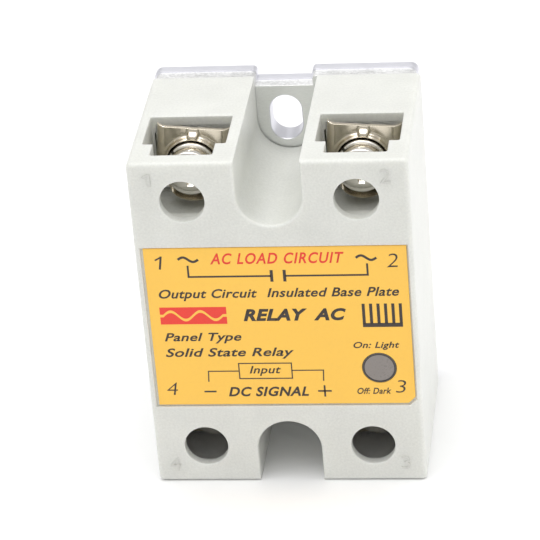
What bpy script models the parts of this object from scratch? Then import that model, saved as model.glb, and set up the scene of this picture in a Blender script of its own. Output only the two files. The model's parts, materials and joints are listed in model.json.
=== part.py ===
"""Solid state relay, 45 x 60 mm panel type: the assembly, one named object for each piece.

Metres, +Z up. The relay stands on its lower end, at Z = 0. The label faces -Y and the base plate
faces +Y. X = 0 and Y = 0 are the middle of the outline. Depths below are measured from the front
face, and depth_y turns them into world Y.
"""
from math import asin, atan2, cos, pi, radians, sin

import bmesh
import bpy
from mathutils import Matrix, Vector

mm = 0.001

# ---------------------------------------------------------------- driving dimensions
WIDTH = 45.0 * mm
HEIGHT = 60.0 * mm
DEPTH = 35.7 * mm
GAP = 0.3 * mm                       # clearance that pieces which touch keep in this model

HOUSING_DEPTH = 31.05 * mm
CORNER_R = 0.8 * mm
FRONT_WALL = 2.2 * mm
SIDE_WALL = 1.8 * mm
END_WALL = 2.0 * mm

PLATE_THICKNESS = 4.35 * mm
PLATE_WIDTH = 44.4 * mm
PLATE_NOTCH_HALF = 5.2 * mm
PLATE_NOTCH_DEPTH = 1.7 * mm
SLOT_WIDTH = 5.7 * mm
SLOT_INNER = 11.85 * mm              # from an end of the plate to the slot's far end
SLOT_OUTER = 3.35 * mm               # from an end of the plate to the slot's near end

CHANNEL_HALF = 5.3 * mm              # mounting recess between the towers
CHANNEL_END = 11.5 * mm              # its round bottom, from the end, at the front face
CHANNEL_SLOPE = 1.9 * mm             # how much deeper it runs at the base plate
CHANNEL_WALL_HALF = 7.0 * mm

TERMINAL_X = 13.95 * mm
TERMINAL_END = 6.95 * mm             # screw axis from the end of the housing
DRIVER_HOLE_R = 3.62 * mm
POCKET_HALF = 6.75 * mm              # wide part of the wire entry, half width
POCKET_NECK_HALF = 5.05 * mm         # narrow part, which the screw head runs in
POCKET_NECK_DEPTH = 3.2 * mm
POCKET_STEP_DEPTH = 7.1 * mm
POCKET_BACK_DEPTH = 16.9 * mm
POCKET_LENGTH = 14.0 * mm            # from the end of the housing to the wide part's floor
NECK_LENGTH = 11.0 * mm              # from the end of the housing to the narrow part's floor
POCKET_BACK_WALL = 1.5 * mm
DRIVER_WALL = 1.7 * mm               # front wall round a driver hole, behind a lip at the end
LIP_LENGTH = 2.5 * mm
WAIST_END = 15.4 * mm                # from the end of the housing to the room for the circuit board
STRIP_POCKET_HALF = 6.4 * mm         # opening for the terminal strip in the back of the wide part
STRIP_POCKET_NEAR = 1.3 * mm
STRIP_POCKET_FAR = 13.4 * mm

HEAD_R = 3.9 * mm
HEAD_FRONT_DEPTH = 9.1 * mm
HEAD_THICKNESS = 3.1 * mm
SHANK_R = 2.0 * mm
SHANK_LENGTH = 12.0 * mm
BORE_R = 2.4 * mm
WASHER_R = 4.0 * mm
WASHER_THICKNESS = 1.2 * mm
CLAMP_HALF = 6.05 * mm
CLAMP_SHEET = 0.8 * mm
CLAMP_WING = 1.6 * mm
CLAMP_DEPTH = 14.0 * mm
COLLAR_INNER_R = 4.35 * mm
COLLAR_OUTER_R = 4.95 * mm
STRIP_HALF = 6.1 * mm
STRIP_THICKNESS = 1.0 * mm
STRIP_DEPTH = 16.9 * mm
NUT_FLATS = 7.0 * mm
NUT_THICKNESS = 3.2 * mm

LABEL_LEFT = -21.15 * mm
LABEL_RIGHT = 21.4 * mm
LABEL_BOTTOM = 15.0 * mm
LABEL_TOP = 44.55 * mm
LABEL_CORNER = 1.15 * mm
LABEL_THICKNESS = 0.25 * mm
LABEL_POCKET_DEPTH = 0.6 * mm
LABEL_MARGINS = (0.45 * mm, GAP, 0.35 * mm, GAP)    # of its pocket: left, right, low, high
STATUS_X = 15.8 * mm
STATUS_Z = 21.8 * mm
STATUS_HOLE_R = 2.9 * mm

BOARD_DEPTH = 13.0 * mm
BOARD_THICKNESS = 1.6 * mm
BOARD_HALF = 19.8 * mm
BOARD_LOW = 17.0 * mm

ROUND = 32                           # sides of the larger round pieces
SMALL_ROUND = 16

FRONT_Y = -DEPTH / 2
PLATE_DEPTH = DEPTH - PLATE_THICKNESS

STACK = {                            # distance of each layer's plate side from the base plate
    "substrate": GAP,
    "pad": 2 * GAP + 0.65 * mm,
    "die": 3 * GAP + 0.95 * mm,
    "foot": 3 * GAP + 0.95 * mm,
    "clip": 4 * GAP + 1.35 * mm,
}

TERMINALS = {                        # terminal number: (side in X, upper end?)
    1: (-1, True),
    2: (1, True),
    3: (1, False),
    4: (-1, False),
}


def depth_y(depth):
    """World Y of a depth behind the front face."""
    return FRONT_Y + depth


# ---------------------------------------------------------------- scene and materials
for old in list(bpy.data.objects):
    bpy.data.objects.remove(old, do_unlink=True)

PARTS = bpy.data.collections.new("solid_state_relay")
CUTTERS = bpy.data.collections.new("cutters")
bpy.context.scene.collection.children.link(PARTS)
bpy.context.scene.collection.children.link(CUTTERS)


def material(name, colour, roughness, metallic=0.0):
    """A plain Principled material."""
    made = bpy.data.materials.new(name)
    made.use_nodes = True
    shader = made.node_tree.nodes["Principled BSDF"]
    shader.inputs["Base Color"].default_value = (*colour, 1.0)
    shader.inputs["Roughness"].default_value = roughness
    shader.inputs["Metallic"].default_value = metallic
    return made


HOUSING_PLASTIC = material("housing_plastic", (0.70, 0.71, 0.67), 0.45)
ALUMINIUM = material("aluminium", (0.72, 0.73, 0.76), 0.35, 1.0)
LABEL_FILM = material("label_film", (0.98, 0.56, 0.10), 0.45)
SMOKED_LENS = material("smoked_lens", (0.20, 0.19, 0.18), 0.25)
NICKEL = material("nickel_plate", (0.66, 0.62, 0.55), 0.22, 1.0)
STEEL = material("screw_steel", (0.72, 0.70, 0.66), 0.2, 1.0)
COPPER = material("copper", (0.82, 0.42, 0.26), 0.3, 1.0)
CERAMIC = material("alumina", (0.88, 0.87, 0.84), 0.6)
SILICON = material("silicon", (0.16, 0.17, 0.20), 0.25, 0.4)
BOARD_LAMINATE = material("board_laminate", (0.05, 0.26, 0.12), 0.5)
BLACK_EPOXY = material("black_epoxy", (0.03, 0.03, 0.03), 0.5)
FILM_CASE = material("capacitor_case", (0.55, 0.10, 0.07), 0.4)
VARISTOR_COAT = material("varistor_coat", (0.06, 0.20, 0.50), 0.45)
RESISTOR_COAT = material("resistor_coat", (0.50, 0.42, 0.28), 0.5)
LED_GLASS = material("led_epoxy", (0.70, 0.12, 0.08), 0.15)
SEALANT = material("sealant", (0.80, 0.80, 0.78), 0.6)


# ---------------------------------------------------------------- modelling helpers
def adopt(obj, name, finish=None):
    """Names an object, gives it its material and puts it with the parts, or with the cutters."""
    obj.name = name
    obj.data.name = name
    for home in list(obj.users_collection):
        home.objects.unlink(obj)
    if finish is None:
        CUTTERS.objects.link(obj)
        obj.hide_render = True
        obj.display_type = "WIRE"
    else:
        PARTS.objects.link(obj)
        obj.data.materials.clear()
        obj.data.materials.append(finish)
    return obj


def box(name, low, high, finish=None):
    """A block between two corners, as a scaled cube primitive with its scale applied."""
    bpy.ops.mesh.primitive_cube_add(size=1.0)
    obj = bpy.context.object
    size = Vector(high) - Vector(low)
    obj.data.transform(Matrix.Diagonal((*size, 1.0)))
    obj.location = (Vector(high) + Vector(low)) / 2
    return adopt(obj, name, finish)


def cylinder(name, centre, radius, depth, finish=None, axis="Y", sides=ROUND):
    """A cylinder primitive about its centre, along X, Y or Z."""
    bpy.ops.mesh.primitive_cylinder_add(vertices=sides, radius=radius, depth=depth)
    obj = bpy.context.object
    turn = {"X": Matrix.Rotation(pi / 2, 4, "Y"), "Y": Matrix.Rotation(pi / 2, 4, "X")}
    obj.data.transform(turn.get(axis, Matrix.Identity(4)))
    obj.location = centre
    smooth(obj)
    return adopt(obj, name, finish)


def smooth(obj, angle=40.0):
    """Smooth shading that stops at edges sharper than the angle."""
    obj.data.shade_smooth()
    obj.data.set_sharp_from_angle(angle=radians(angle))


def chamfer(obj, width, segments=2, angle=50.0):
    """Rounds the edges that are sharper than the angle."""
    made = obj.modifiers.new("rounding", "BEVEL")
    made.width = width
    made.segments = segments
    made.limit_method = "ANGLE"
    made.angle_limit = radians(angle)
    return made


def cut(obj, tool, operation="DIFFERENCE"):
    """A Boolean modifier with the exact solver."""
    made = obj.modifiers.new(f"{operation.lower()}_{tool.name}", "BOOLEAN")
    made.object = tool
    made.operation = operation
    made.solver = "EXACT"
    return made


def join(obj, tool):
    """Unites a second shape into an object."""
    return cut(obj, tool, "UNION")


def baked(obj, name, finish):
    """The evaluated mesh of an object as a plain mesh object, and the source removed."""
    bpy.context.view_layer.update()
    seen = obj.evaluated_get(bpy.context.evaluated_depsgraph_get())
    mesh = bpy.data.meshes.new_from_object(seen)
    made = bpy.data.objects.new(name, mesh)
    made.matrix_world = obj.matrix_world.copy()
    bpy.data.objects.remove(obj, do_unlink=True)
    edit = bmesh.new()
    edit.from_mesh(mesh)
    bmesh.ops.remove_doubles(edit, verts=edit.verts, dist=0.000001)
    bmesh.ops.recalc_face_normals(edit, faces=edit.faces)
    edit.to_mesh(mesh)
    edit.free()
    return adopt(made, name, finish)


def flat_curve(outlines, thickness):
    """A filled 2D curve in its own XY plane, extruded to the thickness about that plane."""
    data = bpy.data.curves.new("outline", "CURVE")
    data.dimensions = "2D"
    data.fill_mode = "BOTH"
    data.extrude = thickness / 2
    for outline in outlines:
        spline = data.splines.new("POLY")
        spline.points.add(len(outline) - 1)
        for point, (u, v) in zip(spline.points, outline):
            point.co = (u, v, 0.0, 1.0)
        spline.use_cyclic_u = True
    obj = bpy.data.objects.new("outline", data)
    PARTS.objects.link(obj)
    return obj


def slab(name, outlines, depth_low, depth_high, finish=None):
    """A plate parallel to the front face: outlines are (x, z) loops, the later ones its holes."""
    obj = flat_curve(outlines, depth_high - depth_low)
    middle = depth_y((depth_low + depth_high) / 2)
    obj.matrix_world = Matrix.Translation((0.0, middle, 0.0)) @ Matrix.Rotation(pi / 2, 4, "X")
    return baked(obj, name, finish)


def strip(name, outline, centre_x, width, finish=None):
    """A bent strip: its (depth, z) outline, extruded along X to the strip's width."""
    obj = flat_curve([[(depth_y(depth), z) for depth, z in outline]], width)
    stand = Matrix(((0, 0, 1, 0), (1, 0, 0, 0), (0, 1, 0, 0), (0, 0, 0, 1)))
    obj.matrix_world = Matrix.Translation((centre_x, 0.0, 0.0)) @ stand
    return baked(obj, name, finish)


def turned(name, profile, finish, sides=ROUND):
    """A piece turned about Y: its (radius, height) profile, from the top down, by a Screw modifier."""
    mesh = bpy.data.meshes.new(name)
    edit = bmesh.new()
    row = [edit.verts.new((radius, 0.0, height)) for radius, height in profile]
    for first, second in zip(row, row[1:]):
        edit.edges.new((first, second))
    edit.to_mesh(mesh)
    edit.free()
    obj = bpy.data.objects.new(name, mesh)
    PARTS.objects.link(obj)
    spin = obj.modifiers.new("turning", "SCREW")
    spin.axis = "Z"
    spin.steps = sides
    spin.render_steps = sides
    spin.use_merge_vertices = True
    spin.merge_threshold = 0.000001
    obj.matrix_world = Matrix.Rotation(pi / 2, 4, "X")
    made = baked(obj, name, finish)
    made.data.transform(made.matrix_world)
    made.matrix_world = Matrix.Identity(4)
    smooth(made)
    return made


def wire(name, points, radius, finish=None):
    """A round wire along points, as a bevelled curve with filled caps, made a mesh."""
    data = bpy.data.curves.new(name, "CURVE")
    data.dimensions = "3D"
    data.bevel_depth = radius
    data.bevel_resolution = 2
    data.use_fill_caps = True
    spline = data.splines.new("POLY")
    spline.points.add(len(points) - 1)
    for point, place in zip(spline.points, points):
        point.co = (*place, 1.0)
    obj = bpy.data.objects.new(name, data)
    PARTS.objects.link(obj)
    return baked(obj, name, finish)


def arc(centre_u, centre_v, radius, start, end, count):
    """Points along an arc, by angle in degrees."""
    steps = [radians(start + (end - start) * n / count) for n in range(count + 1)]
    return [(centre_u + radius * cos(a), centre_v + radius * sin(a)) for a in steps]


def circle(centre_u, centre_v, radius, count=ROUND):
    """Points round a whole circle."""
    return arc(centre_u, centre_v, radius, 0.0, 360.0 - 360.0 / count, count - 1)


def mirrored_z(outline):
    """The same outline at the other end of the relay."""
    return [(u, HEIGHT - v) for u, v in outline]


def terminal_centre(number):
    """(x, z) of a terminal's screw axis."""
    side, upper = TERMINALS[number]
    return side * TERMINAL_X, (HEIGHT - TERMINAL_END if upper else TERMINAL_END)


def from_end(number, distance):
    """World Z at a distance inside the end of the housing that a terminal sits in."""
    return HEIGHT - distance if TERMINALS[number][1] else distance


# ---------------------------------------------------------------- housing and what closes it
def channel_cutter(name, half, upper):
    """The U-shaped mounting recess, tilted so that it runs deeper towards the base plate."""
    reach = HEIGHT + 5 * mm
    centre_z = HEIGHT - CHANNEL_END + half
    outline = [(half, reach), *arc(0.0, centre_z, half, 0.0, -180.0, 20), (-half, reach)]
    length = DEPTH + 6 * mm
    obj = flat_curve([outline], length)
    tilt = atan2(CHANNEL_SLOPE, HOUSING_DEPTH)
    lift = Vector((0.0, centre_z - half, 0.0))
    stand = Matrix.Translation((0.0, FRONT_Y, 0.0)) @ Matrix.Rotation(pi / 2, 4, "X")
    pivot = Matrix.Translation(lift) @ Matrix.Rotation(tilt, 4, "X") @ Matrix.Translation(-lift)
    centre = Matrix.Translation((0.0, 0.0, -length / 2 + 3 * mm))
    obj.matrix_world = stand @ pivot @ centre
    made = baked(obj, name, None)
    if not upper:
        flip_to_lower_end(made)
    return made


def flip_to_lower_end(obj):
    """Mirrors a tool for the upper end to the lower end, and keeps its faces outward."""
    flip = Matrix.Translation((0.0, 0.0, HEIGHT)) @ Matrix.Diagonal((1.0, 1.0, -1.0, 1.0))
    obj.data.transform(flip @ obj.matrix_world)
    obj.matrix_world = Matrix.Identity(4)
    obj.data.flip_normals()


def cavity_outline(inset=0.0):
    """(x, z) outline of the open back of the housing: an H, round the two mounting recesses."""
    out_x = WIDTH / 2 - SIDE_WALL - inset
    in_x = CHANNEL_WALL_HALF + inset
    end_z = END_WALL + inset
    waist_z = WAIST_END + inset
    low = [(-out_x, end_z), (-in_x, end_z), (-in_x, waist_z),
           (in_x, waist_z), (in_x, end_z), (out_x, end_z)]
    return low + [(x, HEIGHT - z) for x, z in reversed(low)]


def label_outline(margins=(0.0, 0.0, 0.0, 0.0)):
    """(x, z) outline of the label or of its pocket, with the lower right corner cut off."""
    left = LABEL_LEFT - margins[0]
    right = LABEL_RIGHT + margins[1]
    low = LABEL_BOTTOM - margins[2]
    high = LABEL_TOP + margins[3]
    corner = [(right - LABEL_CORNER, low), (right, low + LABEL_CORNER)]
    return [(left, low), *corner, (right, high), (left, high)]


def housing():
    """The moulded shell: a rounded block, hollowed from the back, with its pockets and recesses."""
    back = depth_y(HOUSING_DEPTH)
    shell = box("housing", (-WIDTH / 2, FRONT_Y, 0.0), (WIDTH / 2, back, HEIGHT), HOUSING_PLASTIC)
    edit = bmesh.new()
    edit.from_mesh(shell.data)
    rear = HOUSING_DEPTH / 2 - 0.1 * mm
    edges = [e for e in edit.edges if not all(v.co.y > rear for v in e.verts)]
    bmesh.ops.bevel(edit, geom=edges, offset=CORNER_R, segments=3, profile=0.5, affect="EDGES")
    edit.to_mesh(shell.data)
    edit.free()

    cut(shell, slab("cut_rear_cavity", [cavity_outline()], POCKET_BACK_DEPTH + POCKET_BACK_WALL, DEPTH))
    inner = WIDTH / 2 - SIDE_WALL
    room_back = POCKET_BACK_DEPTH + POCKET_BACK_WALL + 0.5 * mm
    cut(shell, box("cut_board_space", (-inner, depth_y(FRONT_WALL), WAIST_END),
                   (inner, depth_y(room_back), HEIGHT - WAIST_END)))
    for number in TERMINALS:
        cut_terminal_pocket(shell, number)
    for end, upper in (("upper", True), ("lower", False)):
        cut(shell, channel_cutter(f"cut_{end}_recess", CHANNEL_HALF, upper))
    pocket = label_outline(LABEL_MARGINS)
    cut(shell, slab("cut_label_pocket", [pocket], -1.0 * mm, LABEL_POCKET_DEPTH))
    status = (STATUS_X, depth_y(FRONT_WALL / 2), STATUS_Z)
    cut(shell, cylinder("cut_status_hole", status, STATUS_HOLE_R, 3 * FRONT_WALL))
    return shell


def cut_terminal_pocket(shell, number):
    """The T-shaped wire entry, the driver hole and the opening for the terminal strip."""
    x, z = terminal_centre(number)
    over = 1.0 * mm
    back = POCKET_BACK_DEPTH + POCKET_BACK_WALL + over
    pocket_room(shell, f"cut_entry_{number}", number, POCKET_HALF,
                (POCKET_STEP_DEPTH, POCKET_BACK_DEPTH), (-over, POCKET_LENGTH))
    pocket_room(shell, f"cut_neck_{number}", number, POCKET_NECK_HALF,
                (POCKET_NECK_DEPTH, POCKET_STEP_DEPTH + over), (-over, NECK_LENGTH))
    pocket_room(shell, f"cut_driver_room_{number}", number, POCKET_NECK_HALF,
                (DRIVER_WALL, POCKET_NECK_DEPTH + over), (LIP_LENGTH, NECK_LENGTH))
    cut(shell, cylinder(f"cut_driver_hole_{number}", (x, depth_y(DRIVER_WALL / 2), z),
                        DRIVER_HOLE_R, 2 * DRIVER_WALL))
    pocket_room(shell, f"cut_strip_{number}", number, STRIP_POCKET_HALF,
                (POCKET_BACK_DEPTH - over, back), (STRIP_POCKET_NEAR, STRIP_POCKET_FAR))
    pocket_room(shell, f"cut_leg_{number}", number, leg_half(number) + GAP,
                (POCKET_BACK_DEPTH - GAP, back), (STRIP_POCKET_FAR - over, WAIST_END + over))


def pocket_room(shell, name, number, half, depths, ends):
    """Cuts a block on a terminal's axis: a half width, two depths and two distances from the end."""
    x, _ = terminal_centre(number)
    low, high = sorted((from_end(number, ends[0]), from_end(number, ends[1])))
    cut(shell, box(name, (x - half, depth_y(depths[0]), low), (x + half, depth_y(depths[1]), high)))


def leg_half(number):
    """Half the width of a terminal strip's leg: wide on the load side, narrow on the input side."""
    return 3.0 * mm if TERMINALS[number][1] else 1.5 * mm


def base_plate():
    """The aluminium plate: rounded corners, a notch and an oval screw slot at each end."""
    half = PLATE_WIDTH / 2
    corner = 1.2 * mm
    notch = PLATE_NOTCH_HALF
    floor = PLATE_NOTCH_DEPTH
    nick = 0.7 * mm
    lower = [*arc(-half + corner, corner, corner, 180.0, 270.0, 4),
             *arc(-notch - nick, nick, nick, -90.0, 0.0, 3),
             (-notch, floor), (notch, floor),
             *arc(notch + nick, nick, nick, 180.0, 270.0, 3),
             *arc(half - corner, corner, corner, 270.0, 360.0, 4)]
    outline = lower + list(reversed(mirrored_z(lower)))
    slot_r = SLOT_WIDTH / 2
    slot = (arc(0.0, SLOT_INNER - slot_r, slot_r, 0.0, 180.0, 12)
            + arc(0.0, SLOT_OUTER + slot_r, slot_r, 180.0, 360.0, 12))
    return slab("base_plate", [outline, slot, mirrored_z(slot)], PLATE_DEPTH, DEPTH, ALUMINIUM)


def seal_bead():
    """The ring of sealant in the corner between the housing's walls and the base plate."""
    outer = cavity_outline(GAP)
    inner = cavity_outline(GAP + 1.1 * mm)
    return slab("seal_bead", [outer, inner], PLATE_DEPTH - GAP - 1.1 * mm, PLATE_DEPTH - GAP, SEALANT)


def front_label():
    """The label, with the hole that the status lens shows through."""
    rise = LABEL_POCKET_DEPTH - GAP - LABEL_THICKNESS
    hole = circle(STATUS_X, STATUS_Z, STATUS_HOLE_R)
    return slab("front_label", [label_outline(), hole], rise, rise + LABEL_THICKNESS, LABEL_FILM)


def status_lens():
    """The smoked lens: a button in the front wall, with a flange behind it."""
    front = 0.05 * mm
    rear = FRONT_WALL + GAP
    r = STATUS_HOLE_R - GAP
    flange = r + 1.0 * mm
    depths = [(0.0, rear + 0.7 * mm), (flange, rear + 0.7 * mm), (flange, rear), (r, rear),
              (r, 0.45 * mm), (r * 0.7, 0.15 * mm), (0.0, front)]
    lens = turned("status_lens", [(radius, -depth) for radius, depth in reversed(depths)], SMOKED_LENS)
    lens.location = (STATUS_X, FRONT_Y, STATUS_Z)
    return lens


# ---------------------------------------------------------------- terminals
def terminal_screw(number):
    """A pan head screw with a cross recess, its origin on its axis at the head's seat."""
    x, z = terminal_centre(number)
    top = HEAD_THICKNESS
    crown = 0.9 * mm
    dome = [(HEAD_R * sin(radians(a)), top - crown * (1 - cos(radians(a)))) for a in (20, 50, 90)]
    edge = 0.35 * mm
    tip = 0.5 * mm
    profile = [(0.0, top), *dome, (HEAD_R, edge), (HEAD_R - edge, 0.0), (SHANK_R, 0.0),
               (SHANK_R, -SHANK_LENGTH + tip), (SHANK_R - tip, -SHANK_LENGTH), (0.0, -SHANK_LENGTH)]
    screw = turned(f"terminal_screw_{number}", profile, STEEL, sides=24)
    recess_depth = 1.9 * mm
    for arm, (half_x, half_z) in enumerate(((2.2 * mm, 0.5 * mm), (0.5 * mm, 2.2 * mm))):
        tool = box(f"cut_cross_{number}_{arm}", (-half_x, -top - 1 * mm, -half_z),
                   (half_x, -top + recess_depth, half_z))
        tool.parent = screw
        cut(screw, tool)
    screw.location = (x, depth_y(HEAD_FRONT_DEPTH + HEAD_THICKNESS), z)
    return screw


def lock_washer(number):
    """A spring lock washer: a ring with one narrow split."""
    x, z = terminal_centre(number)
    inner = SHANK_R + GAP
    split = 5.0
    start = 140.0
    ring = (arc(0.0, 0.0, WASHER_R, start + split, start + 360.0 - split, 28)
            + arc(0.0, 0.0, inner, start + 360.0 - split, start + split, 28))
    near = HEAD_FRONT_DEPTH + HEAD_THICKNESS + GAP
    washer = slab(f"lock_washer_{number}", [[(x + u, z + v) for u, v in ring]],
                  near, near + WASHER_THICKNESS, STEEL)
    return washer


def wire_clamp(number):
    """The square clamp: side wings bent to the strip, a raised collar, and a tab over the washer."""
    x, z = terminal_centre(number)
    upper = TERMINALS[number][1]
    bend = 1.1 * mm
    wing_sheet = 0.7 * mm
    outer = [(CLAMP_HALF - bend, 0.0), *arc(CLAMP_HALF - bend, bend, bend, -60.0, 0.0, 3)]
    outer.append((CLAMP_HALF, CLAMP_SHEET + CLAMP_WING))
    inner = [(CLAMP_HALF - wing_sheet, CLAMP_SHEET + CLAMP_WING),
             *arc(CLAMP_HALF - bend, bend, bend - wing_sheet, 0.0, 90.0, 3)]
    inner[-1] = (CLAMP_HALF - bend, CLAMP_SHEET)
    right = outer + inner
    section = right + [(-u, v) for u, v in reversed(right)]
    obj = flat_curve([section], 2 * CLAMP_HALF)
    obj.matrix_world = Matrix.Translation((x, depth_y(CLAMP_DEPTH), z))
    clamp = baked(obj, f"wire_clamp_{number}", NICKEL)
    collar_rise = 0.8 * mm
    rings = [circle(x, z, COLLAR_OUTER_R, 28), circle(x, z, COLLAR_INNER_R, 28)]
    join(clamp, slab(f"collar_{number}", rings, CLAMP_DEPTH - collar_rise, CLAMP_DEPTH + CLAMP_SHEET / 2))
    tab_half = 0.8 * mm
    tab_rise = 1.2 * mm
    direction = 1 if upper else -1
    tab_low, tab_high = sorted((z + direction * COLLAR_INNER_R, z + direction * CLAMP_HALF))
    join(clamp, box(f"tab_{number}", (x - tab_half, depth_y(CLAMP_DEPTH - tab_rise), tab_low),
                    (x + tab_half, depth_y(CLAMP_DEPTH + CLAMP_SHEET / 2), tab_high)))
    hole = cylinder(f"cut_clamp_{number}", (x, depth_y(CLAMP_DEPTH), z), BORE_R, 8 * mm, sides=24)
    cut(clamp, hole)
    return clamp


def terminal_nut(number):
    """A square nut behind the terminal strip."""
    x, z = terminal_centre(number)
    near = STRIP_DEPTH + STRIP_THICKNESS + GAP
    half = NUT_FLATS / 2
    outline = [(x - half, z - half), (x + half, z - half), (x + half, z + half), (x - half, z + half)]
    return slab(f"terminal_nut_{number}", [outline, circle(x, z, BORE_R, 24)],
                near, near + NUT_THICKNESS, NICKEL)


def screw_plate(number):
    """The square end of a terminal strip, as a separate tool shape."""
    x, z = terminal_centre(number)
    ends = (from_end(number, STRIP_POCKET_NEAR + GAP), from_end(number, STRIP_POCKET_FAR - GAP))
    near, far = sorted(ends)
    return box(f"plate_of_{number}", (x - STRIP_HALF, depth_y(STRIP_DEPTH), near),
               (x + STRIP_HALF, depth_y(STRIP_DEPTH + STRIP_THICKNESS), far))


def load_busbar(number):
    """A load terminal's strip: down from the screw, back to the substrate and down to its foot."""
    x, z = terminal_centre(number)
    t = STRIP_THICKNESS
    shelf = 37.0 * mm
    foot_low = 32.0 * mm
    foot = PLATE_DEPTH - STACK["foot"]
    outline = [(STRIP_DEPTH, z), (STRIP_DEPTH, shelf - t), (foot - t, shelf - t), (foot - t, foot_low),
               (foot, foot_low), (foot, shelf), (STRIP_DEPTH + t, shelf), (STRIP_DEPTH + t, z)]
    bar = strip(f"load_busbar_{number}", outline, x, 2 * leg_half(number), COPPER)
    join(bar, screw_plate(number))
    cut(bar, cylinder(f"cut_bar_{number}", (x, depth_y(STRIP_DEPTH), z), BORE_R, 8 * mm, sides=24))
    return bar


def input_strip(number):
    """An input terminal's strip: up from the screw, and forward to the back of the circuit board."""
    x, z = terminal_centre(number)
    t = STRIP_THICKNESS
    top = 21.0 * mm
    foot = BOARD_DEPTH + BOARD_THICKNESS + GAP
    outline = [(STRIP_DEPTH, z), (STRIP_DEPTH, top - t), (foot, top - t), (foot, top),
               (STRIP_DEPTH + t, top), (STRIP_DEPTH + t, z)]
    bar = strip(f"input_strip_{number}", outline, x, 2 * leg_half(number), NICKEL)
    join(bar, screw_plate(number))
    cut(bar, cylinder(f"cut_bar_{number}", (x, depth_y(STRIP_DEPTH), z), BORE_R, 8 * mm, sides=24))
    return bar


# ---------------------------------------------------------------- power stage on the base plate
def rectangle(low_x, low_z, high_x, high_z):
    """Corners of an (x, z) rectangle given in millimetres."""
    corners = ((low_x, low_z), (high_x, low_z), (high_x, high_z), (low_x, high_z))
    return [(u * mm, v * mm) for u, v in corners]


def layer(name, outline, level, thickness, finish):
    """A flat piece of the power stage, at its level above the base plate."""
    high = PLATE_DEPTH - STACK[level]
    return slab(name, [outline], high - thickness, high, finish)


def jumper_clip(name, low_x, high_x, low_z, high_z, foot_side):
    """A copper clip from the top of a die across to the other copper pad."""
    top = PLATE_DEPTH - STACK["clip"]
    thickness = 0.4 * mm
    foot_width = 2.0
    clip = slab(name, [rectangle(low_x, low_z, high_x, high_z)], top - thickness, top, COPPER)
    foot_low = high_x - foot_width if foot_side > 0 else low_x
    foot_high = foot_low + foot_width
    foot = slab(f"{name}_foot", [rectangle(foot_low, low_z, foot_high, high_z)],
                top - thickness / 2, PLATE_DEPTH - STACK["foot"])
    join(clip, foot)
    return clip


def power_stage():
    """Ceramic substrate, copper pads, the two thyristor dies and the clips that cross-connect them."""
    layer("ceramic_substrate", rectangle(-18.0, 19.0, 18.0, 41.0), "substrate", 0.65 * mm, CERAMIC)
    layer("copper_pad_1", rectangle(-17.2, 20.0, -0.8, 40.0), "pad", 0.3 * mm, COPPER)
    layer("copper_pad_2", rectangle(0.8, 20.0, 17.2, 40.0), "pad", 0.3 * mm, COPPER)
    layer("thyristor_die_1", rectangle(-10.4, 22.0, -3.4, 29.0), "die", 0.4 * mm, SILICON)
    layer("thyristor_die_2", rectangle(3.4, 31.0, 10.4, 38.0), "die", 0.4 * mm, SILICON)
    jumper_clip("jumper_clip_1", -9.0, 4.0, 23.5, 27.5, 1)
    jumper_clip("jumper_clip_2", -4.0, 9.0, 32.5, 36.5, -1)
    near = BOARD_DEPTH + BOARD_THICKNESS + GAP
    far = PLATE_DEPTH - STACK["die"] - 0.4 * mm - GAP
    for number, x, z in ((1, -9.6, 28.2), (2, 9.7, 31.8)):
        points = [(x * mm, depth_y(near), z * mm), (x * mm, depth_y(far), z * mm)]
        wire(f"gate_lead_{number}", points, 0.4 * mm, COPPER)


# ---------------------------------------------------------------- circuit board and what is on it
def on_board(height):
    """Depth of a point at a height above the front of the circuit board."""
    return BOARD_DEPTH - height


def circuit_board():
    """The laminate that carries the input circuit, between the front wall and the power stage."""
    low = (-BOARD_HALF, depth_y(BOARD_DEPTH), BOARD_LOW)
    high = (BOARD_HALF, depth_y(BOARD_DEPTH + BOARD_THICKNESS), HEIGHT - BOARD_LOW)
    return box("circuit_board", low, high, BOARD_LAMINATE)


def axial_part(name, centre_x, centre_z, along, length, radius, finish, reach=2.2 * mm):
    """A resistor or diode lying on the board: a rounded body on one wire bent down at both ends."""
    height = radius + GAP
    middle = Vector((centre_x, depth_y(on_board(height)), centre_z))
    step = Vector((1, 0, 0)) if along == "X" else Vector((0, 0, 1))
    body = cylinder(name, middle, radius, length, finish, axis=along, sides=SMALL_ROUND)
    chamfer(body, radius * 0.25, segments=2, angle=60.0)
    foot = depth_y(on_board(GAP))
    if height - GAP > 0.6 * mm:
        span = length / 2 + reach
        ends = [middle + step * s * span for s in (-1, 1)]
        feet = [Vector((end.x, foot, end.z)) for end in ends]
        join(body, wire(f"{name}_wire", [feet[0], *ends, feet[1]], 0.3 * mm))
    return body


def block_part(name, low_x, high_x, low_z, high_z, height, finish, rounding=0.4 * mm):
    """A moulded box standing on the board."""
    low = (low_x * mm, depth_y(on_board(GAP + height)), low_z * mm)
    high = (high_x * mm, depth_y(on_board(GAP)), high_z * mm)
    made = box(name, low, high, finish)
    chamfer(made, rounding)
    smooth(made)
    return made


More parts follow.
